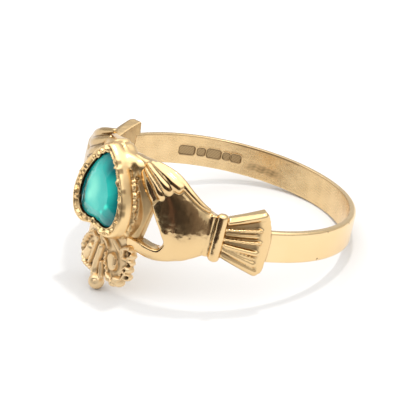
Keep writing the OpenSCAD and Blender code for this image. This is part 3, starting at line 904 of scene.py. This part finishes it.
def makeSetting():
    tree = beadTree()
    shapes = [settingShape(), beadShape(tree, rimLay), beadShape(tree, stripLay)]
    v = np.linspace(0, 1, 40)
    for rows in (shoulderRows, gussetRows):
        at = np.linspace(rows[0][0], rows[-1][0], 60)
        low, high, mid, edge = [readTable(at, rows, k)[:, None] for k in (1, 2, 3, 4)]
        for place, lift in ((nearPlace, 0), (farPlace, farLift)):
            shapes.append(stripShape((mixed(edge, mid, dome(v, 3)), at[:, None] + 0 * v,
                                      mixed(low, high, v) + lift * eased(v, 0, 1)), place))
    shapes.append(sweepShape(knuckleRows, nearPlace))
    setting = castTogether("heartSetting", shapes, heartSize["grain"], 4)
    points = getPoints(setting.data)
    away = -points[:, 1]
    across, along = points[:, 0], points[:, 2] - heartSize["up"]
    around = np.degrees(np.arctan2(-across, -along))
    beyond = np.hypot(across, along) - heartRadius(around)    # distance outside the stone's edge
    soften(setting, eased(along, 1.6, 2.3) * eased(beyond, 0.40, 0.70), 70)
    points, radius, _, _, outward = readSkin(setting)
    fitBack(points, radius, (radius < backRadius + 0.05) & (outward < -0.4))
    setPoints(setting.data, points)
    # painted shade on the wall below the rim, and painted shadow on the rim's inner wall down to
    # the stone
    wall = eased(9.62 - away, 0, 0.12) * eased(beyond, 0.2, 0.5) * (1 - eased(along, 2.0, 2.6))
    seat = eased(0.13 - beyond, 0, 0.05) * eased(10.42 - away, 0, 0.06) * (radius > 8.75)
    # the painted shade is lighter on the strip's beads than on the wall between them
    wall *= 1 - 0.5 * eased(beyond - 0.86 * rimRadius(around), 0, 0.12)
    wall *= eased(outward, -0.8, -0.4)
    # painted dark reflections and shade on the rim
    shadeSpots = np.zeros(len(points))
    for s0, z0, size in rimShadeSpots:
        gap = np.hypot(across - s0, along - z0)
        shadeSpots = np.maximum(shadeSpots, 0.72 * (1 - eased(gap, 0.3 * size, size)))
    shadeSpots *= eased(away, 10.1, 10.25)
    finishMetal(setting, castGold, depth=0.05, rounds=30, stainShadeAndReflection=np.clip(
        np.maximum(heartSize["wallShade"] * wall + seat, shadeSpots), 0, 1))
    return setting


def beadTree():
    tree, given = newTree("milledBeads", {
        "Count": "Int", "Bead Radius": "Float", "Unevenness": "Float", "Seed": "Int",
        "Material": "Material"})
    line = addNode(tree, "GeometryNodeMeshToCurve", {"Mesh": given["Geometry"]})
    even = addNode(tree, "GeometryNodeResampleCurve", {"Curve": line.outputs[0],
                                                       "Count": given["Count"]}, mode="COUNT")
    bead = addNode(tree, "GeometryNodeMeshIcoSphere", {"Radius": given["Bead Radius"],
                                                       "Subdivisions": 4})
    smallest = addMath(tree, "SUBTRACT", 1.0, given["Unevenness"])
    largest = addMath(tree, "ADD", 1.0, given["Unevenness"])
    size = addNode(tree, "FunctionNodeRandomValue", {
        "Min": smallest, "Max": largest, "Seed": given["Seed"]}, data_type="FLOAT_VECTOR")
    turn = addNode(tree, "FunctionNodeRandomValue", {
        "Min": (0.0, 0.0, 0.0), "Max": (6.28, 6.28, 6.28), "Seed": given["Seed"]},
        data_type="FLOAT_VECTOR")
    placed = addNode(tree, "GeometryNodeInstanceOnPoints", {
        "Points": even.outputs[0], "Instance": bead.outputs["Mesh"],
        "Rotation": turn.outputs[0], "Scale": size.outputs[0]})
    plain = addNode(tree, "GeometryNodeRealizeInstances", {"Geometry": placed.outputs[0]})
    lump = addNode(tree, "ShaderNodeTexNoise", {"Scale": 6.0, "Detail": 1.0})
    push = addNode(tree, "ShaderNodeVectorMath", {
        0: addNode(tree, "GeometryNodeInputNormal").outputs[0],
        "Scale": addMath(tree, "MULTIPLY", addMath(tree, "SUBTRACT", lump.outputs["Fac"], 0.5),
                         addMath(tree, "MULTIPLY", given["Bead Radius"], 0.9))},
        operation="SCALE")
    moved = addNode(tree, "GeometryNodeSetPosition", {"Geometry": plain.outputs[0],
                                                      "Offset": push.outputs[0]})
    endTree(tree, moved.outputs[0], given["Material"])
    return tree


def beadShape(tree, lay):
    angle = np.linspace(0, 360, 400, endpoint=False)
    turn = np.radians(angle)
    off = lay["wander"] * np.sin(7 * turn + 1) * np.sin(4 * turn)
    dip = 0.8 * lay["wander"] * np.sin(11 * turn)
    line = heartPoint(heartRadius(angle) + lay["share"] * rimRadius(angle) + off, angle,
                      lay["away"] + dip)
    return shapeOf(grow(addGuide("beads", line, closed=True), tree, {
        "Count": lay["count"], "Bead Radius": lay["radius"], "Unevenness": lay["unevenness"],
        "Seed": lay["seed"], "Material": castGold}))


# Crown: relief over the plate as s (mm round the hoop) and height; each row is a line and its size

crownShape = {
    "half": 16.8, "plate": 0.50, "radius": 9.06, "grain": 0.036, "rounds": 6,
    "tipRadius": 0.54, "tip": (0.12, -9.141, -5.81),
    "ballPit": (0.36, -5.66, 0.12),    # ring-shaped pit on the ball: place and radius
}
# share of the half angle, lower and upper edge
plateRows = [
    [0.0, -5.46, -1.65], [0.12, -5.40, -1.65], [0.3, -5.43, -1.7], [0.5, -5.46, -1.75],
    [0.7, -5.36, -1.9], [0.82, -5.08, -2.1], [0.92, -4.64, -2.35], [1.0, -4.0, -2.7],
]
# points, half width, height, depth of the beading
crownLines = [
    ([(-1.75, -3.1), (-2.06, -3.4), (-2.30, -3.7), (-2.50, -4.15), (-2.49, -4.65), (-2.28, -5.05),
      (-1.75, -5.25), (-1.03, -5.28), (-0.5, -5.25)], 0.17, 0.34, 0.1),               # left border
    ([(-1.66, -4.62), (-1.36, -4.00)], 0.38, 0.42, 0.0),                              # left panel
    ([(-0.70, -3.0), (-0.80, -3.4), (-0.92, -3.95), (-1.02, -4.5), (-1.15, -4.95)],
     0.14, 0.30, 0.0),
    ([(-0.09, -3.4), (-0.17, -4.0), (-0.28, -4.5), (-0.33, -5.1), (-0.30, -5.6)], 0.25, 0.40, 0.0),
    ([(0.24, -4.40), (0.32, -4.9), (0.50, -5.3)], 0.15, 0.34, 0.0),
    ([(0.42, -3.6), (0.50, -4.2), (0.84, -4.75), (1.02, -5.05)], 0.09, 0.24, 0.3),
    ([(-0.35, -2.7), (0.2, -2.9), (0.5, -3.2)], 0.13, 0.24, 0.0),
    ([(-1.38, -2.93), (-0.70, -3.14)], 0.15, 0.28, 0.0),
    ([(-0.46, -2.60), (-0.08, -3.08)], 0.14, 0.28, 0.0),
    ([(1.0, -2.6), (1.6, -3.0)], 0.22, 0.16, 0.0),
    ([(1.95, -3.16), (1.92, -2.76), (2.26, -2.50), (2.62, -2.60)], 0.19, 0.38, 0.0),  # right border
    ([(1.98, -3.36), (2.60, -3.28)], 0.13, 0.32, 0.0),
    ([(2.24, -4.06), (2.46, -3.84), (2.64, -4.04), (2.46, -4.26), (2.24, -4.06)], 0.12, 0.34, 0.0),
    ([(1.82, -5.00), (2.30, -4.90), (2.58, -4.70)], 0.28, 0.42, 0.0),
    ([(1.10, -5.06), (1.22, -5.16)], 0.25, 0.38, 0.0),
]
crownHoles = [(2.40, -2.90, 0.17), (2.56, -3.60, 0.15), (2.45, -4.05, 0.10), (2.66, -4.50, 0.12),
              (2.18, -4.56, 0.13)]
crownBeads = [
    (2.58, -3.04, 0.22), (2.62, -3.50, 0.20), (2.60, -4.00, 0.22), (2.58, -4.52, 0.24),
    (1.62, -5.30, 0.24), (2.06, -5.16, 0.24), (-2.44, -4.20, 0.20), (-2.30, -4.86, 0.19),
    (-1.86, -5.18, 0.20),
]
stemRows = [    # angle, height, radius of the middle, half width, half depth
    [[-0.6, -3.6, 9.00, 0.16, 0.14], [-1.4, -4.3, 9.08, 0.24, 0.20], [-2.1, -5.0, 9.10, 0.29, 0.25],
     [-1.2, -5.65, 9.10, 0.36, 0.34]],
    [[1.5, -4.4, 9.06, 0.12, 0.14], [2.1, -4.9, 9.10, 0.18, 0.18], [2.7, -5.45, 9.08, 0.22, 0.26]],
]
# corners of the shield tile, height, and the ends of the slit in it
shield = {"line": [(1.14, -3.72), (1.34, -4.16)], "half": 0.42, "tall": 0.32,
          "slit": [(1.50, -3.66), (1.56, -4.02)], "slitDepth": 0.14}


def crownRelief(s, z):
    height = np.zeros(np.shape(s))
    for line, wide, tall, beading in crownLines:
        gap, along = gapToLine(s, z, line)
        crest = np.sqrt(np.clip(1 - (gap / wide) ** 2, 0, 1))
        height = np.maximum(height, tall * crest * (1 + beading * np.sin(along * 19)))
    gap, _ = gapToLine(s, z, shield["line"])
    height = np.maximum(height, shield["tall"] * (1 - eased(
        gap, shield["half"] - 0.12, shield["half"])))
    for s0, z0, wide in crownBeads:
        gap = np.hypot(s - s0, z - z0)
        height = np.maximum(height, 1.3 * wide * np.sqrt(np.clip(1 - (gap / wide) ** 2, 0, 1)))
    return height


def makeCrown():
    scale = np.radians(1) * crownShape["radius"]
    t = np.linspace(-1, 1, 190)[:, None]
    v = np.linspace(0, 1, 130)
    z = mixed(readTable(np.abs(t), plateRows, 1), readTable(np.abs(t), plateRows, 2), v)
    angle = t * crownShape["half"] + 0 * v
    edge = np.minimum(eased(v, 0, 0.04), eased(1 - v, 0, 0.04)) * eased(1 - np.abs(t), 0, 0.05)
    radius = hoop["holeRadius"] + crownShape["plate"] * mixed(0.6, 1, edge) + edge * crownRelief(
        angle * scale, z)
    shapes = [stripShape((radius, angle, z), nearPlace)]
    for s0, z0, wide in crownBeads:    # the border's beads stand out past the plate
        centre = hoopPoint(hoop["holeRadius"] + 0.42, s0 / scale, z0)
        shapes.append(ballShape(centre, wide + 0.04, (1, 1.6, 1)))
    for s0, z0 in crownLines[0][0]:
        shapes.append(ballShape(hoopPoint(hoop["holeRadius"] + 0.42, s0 / scale, z0), 0.24,
                                (1, 1.4, 1)))
    shapes.append(ballShape(crownShape["tip"], crownShape["tipRadius"]))
    for rows in stemRows:    # leaves that run down into the ball
        shapes.append(sweepShape(rows, nearPlace))
    crown = castTogether("crown", shapes, crownShape["grain"], crownShape["rounds"])
    points, radius, angle, z, outward = readSkin(crown)
    s = angle * scale
    pit = np.zeros(len(points))
    for s0, z0, wide in crownHoles:
        pit = np.maximum(pit, 0.40 * (1 - eased(np.hypot(s - s0, z - z0), 0.5 * wide, 1.3 * wide)))
    s0, z0, wide = crownShape["ballPit"]
    ring = np.hypot(s - s0, z - z0) - wide
    pit = np.maximum(pit, 0.05 * np.exp(-(ring / 0.05) ** 2))
    gap, _ = gapToLine(s, z, shield["slit"])
    pit = np.maximum(pit, shield["slitDepth"] * (1 - eased(gap, 0.03, 0.08)))
    pit *= eased(outward, 0.1, 0.5) * eased(radius, 8.8, 9.0)
    points[:, :2] *= (1 - pit / radius)[:, None]
    fitBack(points, radius, radius < backRadius)
    setPoints(crown.data, points)
    # the pits, holes and slit are also painted dark in step with their depth: painted shade
    finishMetal(crown, crownGold, depth=0.05, rounds=40, stainShadeAndReflection=np.clip(pit * 3.0, 0, 0.8))
    return crown


# Stone

stoneShape = {
    "facets": 13, "girdleTop": 10.24, "girdle": 0.15, "table": 0.60, "tableTop": 10.62,
    "foot": 8.97, "footShare": 0.5, "girdleShare": 0.985,
}

stoneLook = {
    # painted light: from the lit middle to the dark edge, where each tone stands and its colour
    "tones": [(0.08, (0.25, 0.80, 0.60, 1)), (0.45, (0.025, 0.44, 0.38, 1)),
              (0.95, (0.002, 0.12, 0.125, 1))],
    "roughness": 0.09, "clear": 0.0, "facetTone": 0.03, "cloudScale": 520.0, "cloud": 0.35,
    "middle": (-0.1, 0.60), "spread": (2.0, 2.6),    # lit middle in mm, across and along
}
# painted light and shade on the stone: middle across and along in mm, half sizes, turn in degrees,
# and how much darker (or lighter) it is
stoneLightPatches = [
    (-0.40, 0.95, 0.95, 1.7, 0, -0.16), (-0.75, 0.10, 0.45, 0.8, 10, -0.16),
    (-1.55, 0.40, 0.60, 1.5, 0, 0.66), (1.30, 0.90, 0.60, 1.4, 0, -0.12),
    (0.75, 2.40, 0.8, 0.9, 20, 0.22), (0.20, -1.10, 1.0, 0.5, 0, -0.04),
]
# the same, with a colour and its share: painted glints inside the stone and a painted highlight on
# its left edge
stoneGlints = [
    (1.22, 0.02, 0.24, 0.34, 30, (0.04, 0.88, 0.66, 1), 0.8),
    (0.85, -0.52, 0.20, 0.30, 30, (0.05, 0.80, 0.62, 1), 0.6),
    (-1.72, -0.45, 0.13, 0.85, 12, (0.60, 0.90, 0.88, 1), 0.6),
]


def makeStone():
    work = bmesh.new()
    count = stoneShape["facets"]
    fine = 6
    edge = np.arange(count * fine) * 360 / (count * fine)
    corner = (np.arange(count) + 0.5) * 360 / count
    tops = heartPoint(heartRadius(corner) * stoneShape["table"], corner, stoneShape["tableTop"])
    girdle = heartRadius(edge) * stoneShape["girdleShare"]
    rings = [heartPoint(girdle, edge, stoneShape["girdleTop"]),
             heartPoint(girdle, edge, stoneShape["girdleTop"] - stoneShape["girdle"]),
             heartPoint(heartRadius(edge) * stoneShape["footShare"], edge, stoneShape["foot"])]
    rings = [[work.verts.new(p) for p in toFrame(ring)] for ring in rings]
    tops = [work.verts.new(p) for p in toFrame(tops)]
    total = len(edge)
    for k in range(count):
        for i in range(fine):
            a, b = k * fine + i, (k * fine + i + 1) % total
            work.faces.new([rings[0][a], rings[0][b], tops[k]])
        work.faces.new([tops[k], rings[0][((k + 1) * fine) % total], tops[(k + 1) % count]])
    for upper, lower in zip(rings[:-1], rings[1:]):
        for a in range(total):
            b = (a + 1) % total
            work.faces.new([upper[b], upper[a], lower[a], lower[b]])
    work.faces.new(tops)
    work.faces.new(list(reversed(rings[-1])))
    bmesh.ops.recalc_face_normals(work, faces=work.faces)
    mesh = bpy.data.meshes.new("heartStone")
    work.to_mesh(mesh)
    work.free()
    stone = addObject("heartStone", mesh)
    depth, facet = [], []
    for face in mesh.polygons:
        for corner in face.vertices:
            x, y, z = mesh.vertices[corner].co * 1000
            lean = np.radians(hoop["restTilt"])
            up = y * np.sin(lean) + z * np.cos(lean)
            # painted light: darker with distance from the stone's lit middle
            away = np.hypot((x - stoneLook["middle"][0]) / stoneLook["spread"][0],
                            (up - stoneLook["middle"][1]) / stoneLook["spread"][1])
            depth.append(0.9 * float(away))
            facet.append(stoneLook["facetTone"] * np.sin(2.3 * (face.index // (fine + 1))))
    for name, values in (("depth", depth), ("facet", facet)):
        mesh.attributes.new(name, "FLOAT", "CORNER").data.foreach_set("value", np.float32(values))
    mesh.materials.append(stoneMaterial())
    print("ring: heartStone", len(mesh.polygons), "faces")
    return stone


def addSpot(tree, place, middle, half, turn):    # 1 in the middle of an oval on the stone
    lean = np.radians(hoop["restTilt"])
    up = middle[1] * np.cos(lean) + stoneShape["tableTop"] * np.sin(lean)
    spot = addNode(tree, "ShaderNodeMapping", {
        "Vector": place, "Location": (0.001 * middle[0], 0.0, 0.001 * up),
        "Rotation": (0.0, np.radians(turn), 0.0),
        "Scale": (0.001 * half[0], 10.0, 0.001 * half[1])}, vector_type="TEXTURE")
    away = addNode(tree, "ShaderNodeVectorMath", {0: spot.outputs[0]}, operation="LENGTH")
    return addRange(tree, away.outputs["Value"], 0.0, 1.0, 1.0, 0.0)


def stoneMaterial():
    material, tree, shader = newMaterial("tealStone")
    place = objectPlace(tree)
    facet = addNode(tree, "ShaderNodeAttribute", attribute_name="facet").outputs["Fac"]
    depth = addNode(tree, "ShaderNodeAttribute", attribute_name="depth").outputs["Fac"]
    cloud = addMath(tree, "SUBTRACT", addNoise(tree, place, stoneLook["cloudScale"], 3.0), 0.5)
    mask = addMath(tree, "MULTIPLY_ADD", cloud, stoneLook["cloud"],
                   addMath(tree, "ADD", depth, facet))
    for across, along, wide, tall, turn, deeper in stoneLightPatches:
        spot = addSpot(tree, place, (across, along), (wide, tall), turn)
        mask = addMath(tree, "MULTIPLY_ADD", spot, deeper, mask)
    colour = addRamp(tree, mask, stoneLook["tones"])
    for across, along, wide, tall, turn, tone, share in stoneGlints:
        spot = addSpot(tree, place, (across, along), (wide, tall), turn)
        colour = addMix(tree, addMath(tree, "MULTIPLY", spot, share), colour, tone)
    tree.links.new(colour, shader.inputs["Base Color"])
    shader.inputs["Roughness"].default_value = stoneLook["roughness"]
    shader.inputs["IOR"].default_value = 1.54
    shader.inputs["Transmission Weight"].default_value = stoneLook["clear"]
    return material


print("ring: materials ready")
ribs = ribTree()
band = makeBand()
nearArm = makeArm("nearHand", nearPlace, 1.0, ribs)
farArm = makeArm("farHand", farPlace, armShape["farReach"], ribs)
setting = makeSetting()
crown = makeCrown()
stone = makeStone()

for piece in (band, nearArm, farArm, setting, crown):
    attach(piece, "root")
    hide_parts("ring_body")
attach(stone, "root")
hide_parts("heart_stone")

# Floor, light and camera

studio = {
    "floorSize": 1.2, "floorTone": (0.62, 0.62, 0.62, 1),
    "sideLight": 0.62, "topLight": 2.05,
    "keyPlace": (0.0, 0.024, 0.1165), "keySize": 0.010, "keyPower": 0.048,
    # dark card in front: radius, height, angles of its ends, tones from end to end, blotches
    "cardRadius": 0.045, "cardHeight": 0.030, "cardFrom": -12.0, "cardTo": 62.0, "cardSteps": 24,
    "cardTones": [(0.0, (0.05, 0.04, 0.035, 1)), (0.22, (0.004, 0.004, 0.004, 1)),
                  (0.42, (0.006, 0.005, 0.005, 1)), (0.485, (0.12, 0.06, 0.045, 1)),
                  (0.55, (0.012, 0.009, 0.008, 1)), (0.72, (0.03, 0.022, 0.018, 1)),
                  (1.0, (0.20, 0.16, 0.14, 1))],
    "cardBlotch": (0.07, 0.048, 0.038, 1),
    # place, size and power of the fills that lift the shadows at both sides
    "fills": [((-0.030, -0.050, 0.030), 0.03, 0.008), ((0.055, 0.030, 0.030), 0.03, 0.007)],
}


def addCard(floorZ):    # uneven dark card in front of the ring, seen only in reflections
    turn = np.radians(np.linspace(studio["cardFrom"], studio["cardTo"], studio["cardSteps"] + 1))
    x, y = studio["cardRadius"] * np.sin(turn), -studio["cardRadius"] * np.cos(turn)
    points = [(a, b, z) for a, b in zip(x, y) for z in (floorZ, floorZ + studio["cardHeight"])]
    faces = [(2 * i, 2 * i + 2, 2 * i + 3, 2 * i + 1) for i in range(studio["cardSteps"])]
    mesh = bpy.data.meshes.new("darkCard")
    mesh.from_pydata(points, [], faces)
    card = addObject("darkCard", mesh)
    paint, tree, shader = newMaterial("darkCard")
    place = objectPlace(tree)
    side = addNode(tree, "ShaderNodeSeparateXYZ", {0: place}).outputs["X"]
    cloud = addMath(tree, "SUBTRACT", addNoise(tree, place, 220.0, 3.0), 0.5)
    side = addMath(tree, "MULTIPLY_ADD", cloud, 0.012, side)
    tones = addRamp(tree, addRange(tree, side, -0.012, 0.040, smooth=False), studio["cardTones"])
    blotches = addRange(tree, addNoise(tree, place, 170.0, 4.0), 0.54, 0.66)
    colour = addMix(tree, blotches, tones, studio["cardBlotch"])
    tree.links.new(colour, shader.inputs["Base Color"])
    shader.inputs["Roughness"].default_value = 0.9
    mesh.materials.append(paint)
    card.visible_camera = card.visible_diffuse = card.visible_shadow = False
    card.visible_transmission = False


def addLamp(name, place, size, power, shown=True):
    light = bpy.data.lights.new(name, "AREA")
    light.shape, light.size, light.energy = "DISK", size, power
    lamp = addObject(name, light)
    lamp.location = place
    lamp.rotation_euler = lamp.location.to_track_quat("Z", "Y").to_euler()
    lamp.visible_glossy = shown


def addStudio():
    low = cadBox[0]
    size = studio["floorSize"]
    mesh = bpy.data.meshes.new("floor")
    mesh.from_pydata([(-size, -size, low.z), (size, -size, low.z), (size, size, low.z),
                      (-size, size, low.z)], [], [(0, 1, 2, 3)])
    floor = addObject("floor", mesh)
    paint, _, shader = newMaterial("paleFloor")
    shader.inputs["Base Color"].default_value = studio["floorTone"]
    shader.inputs["Roughness"].default_value = 0.6
    mesh.materials.append(paint)
    world = bpy.data.worlds.new("lightTent")
    world.use_nodes = True
    tree = world.node_tree
    way = addNode(tree, "ShaderNodeSeparateXYZ",
                  {0: tree.nodes.new("ShaderNodeTexCoord").outputs["Generated"]})
    high = addRange(tree, way.outputs["Z"], 0.35, 0.88, studio["sideLight"], studio["topLight"])
    background = tree.nodes["Background"]
    background.inputs["Color"].default_value = (1, 1, 1, 1)
    tree.links.new(high, background.inputs["Strength"])
    bpy.context.scene.world = world
    addCard(low.z)
    # small lamp above the ring; it draws the hoop's thin shadow
    addLamp("keyLight", studio["keyPlace"], studio["keySize"], studio["keyPower"])
    for place, size, power in studio["fills"]:
        addLamp("fillLight", place, size, power, shown=False)
    scene = bpy.context.scene
    scene.view_settings.view_transform = "Standard"
    scene.view_settings.look = "None"


def addCamera():
    lens = bpy.data.cameras.new("camera")
    lens.sensor_width, lens.lens = 36.0, 333.952
    lens.clip_start, lens.clip_end = 0.01, 5.0
    camera = addObject("camera", lens)
    camera.location = (0.188315, -0.128306, 0.125206)
    camera.rotation_euler = np.radians([61.03118, 1.05879, 55.40814])
    bpy.context.scene.camera = camera


addStudio()
addCamera()
print("ring: studio ready")
